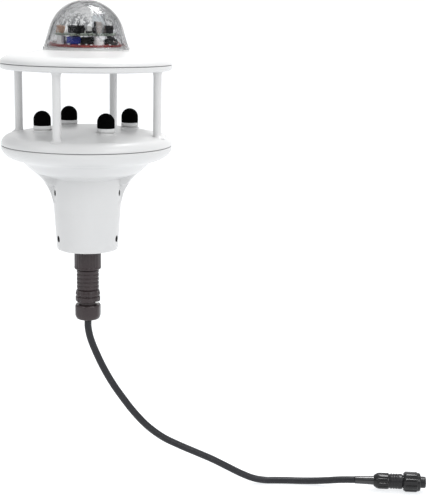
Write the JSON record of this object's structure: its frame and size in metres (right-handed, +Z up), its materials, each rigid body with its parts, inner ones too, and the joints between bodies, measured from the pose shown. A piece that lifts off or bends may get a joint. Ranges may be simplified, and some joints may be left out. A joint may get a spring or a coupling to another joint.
{
  "type": "compact all-in-one weather station",
  "caption": "Pole-mounted weather station with a clear rain-sensor dome, ultrasonic wind gap between two discs and a plug-in data cable.",
  "frame": {"origin": "centre of the mouth of the pole socket at the bottom of the neck", "axes": "+Z up along the station's axis, front towards -Y, +X to the right seen from the front"},
  "size_m": [0.3763, 0.142, 0.4337],
  "materials": {
    "white_plastic": "smooth moulded, faint sheen",
    "clear": "clear polished",
    "rubber": "matt black",
    "gasket_grey": "matt grey",
    "grey_plastic": "moulded",
    "board_red": "solder mask",
    "module_blue": "moulded",
    "module_black": "moulded",
    "copper": "machined",
    "gold": "plated",
    "metal": "machined",
    "dark_connector": "moulded, slightly rough",
    "gloss_black": "glossy moulded",
    "cable_jacket": "satin extruded"
  },
  "bodies": {
    "root": {"dome_lens": "clear", "dome_gasket": "rubber", "optics_base": "grey_plastic", "lower_sensor_board": "board_red", "board_pillars": "metal", "driver_modules": "module_blue", "cable_header": "rubber", "upper_sensor_board": "board_red", "light_baffles": "module_black", "emitter_holders": "copper", "emitter_lenses": "clear", "shield_can": "metal", "shield_top": "white_plastic", "shield_screws": "metal", "upper_seam_gasket": "gasket_grey", "shield_base": "white_plastic", "support_posts": "white_plastic", "tie_rods": "metal", "rod_nuts": "metal", "transducer_caps": "rubber", "transducer_cores": "copper", "transducer_holders": "white_plastic", "transducer_seals": "gasket_grey", "transducer_nuts": "metal", "sensor_deck": "white_plastic", "lower_seam_gasket": "gasket_grey", "lower_housing": "white_plastic", "main_board": "board_red", "board_standoffs": "metal", "board_screws": "metal", "compass_module": "module_black", "wire_loom": "rubber", "housing_screws": "metal", "fixed_connector": "dark_connector", "fixed_contacts": "gold", "connector_nut": "dark_connector", "connector_seal": "rubber", "connector_insert": "dark_connector", "connector_body": "dark_connector", "clamp_flanges": "dark_connector", "flange_screws": "metal", "gland_seal": "rubber", "gland_nut": "dark_connector", "cable": "cable_jacket", "plug_sleeve": "gloss_black", "plug_nut": "gloss_black", "plug_body": "dark_connector", "plug_insert": "gloss_black", "plug_contacts": "gold"},
    "station_ring": {"coupling_ring": "dark_connector"},
    "cable_plug_ring": {"plug_ring": "gloss_black"}
  },
  "joints": [
    {"name": "station_ring_turn", "type": "hinge", "parent": "root", "child": "station_ring", "pos_m": [0, 0, 0], "axis": [0, 0, 1], "range_deg": [0, 90]},
    {"name": "plug_ring_turn", "type": "hinge", "parent": "root", "child": "cable_plug_ring", "pos_m": [0.2841, -0.0136, -0.2168], "axis": [0.9848, -0.1736, 0], "range_deg": [0, 90]}
  ]
}
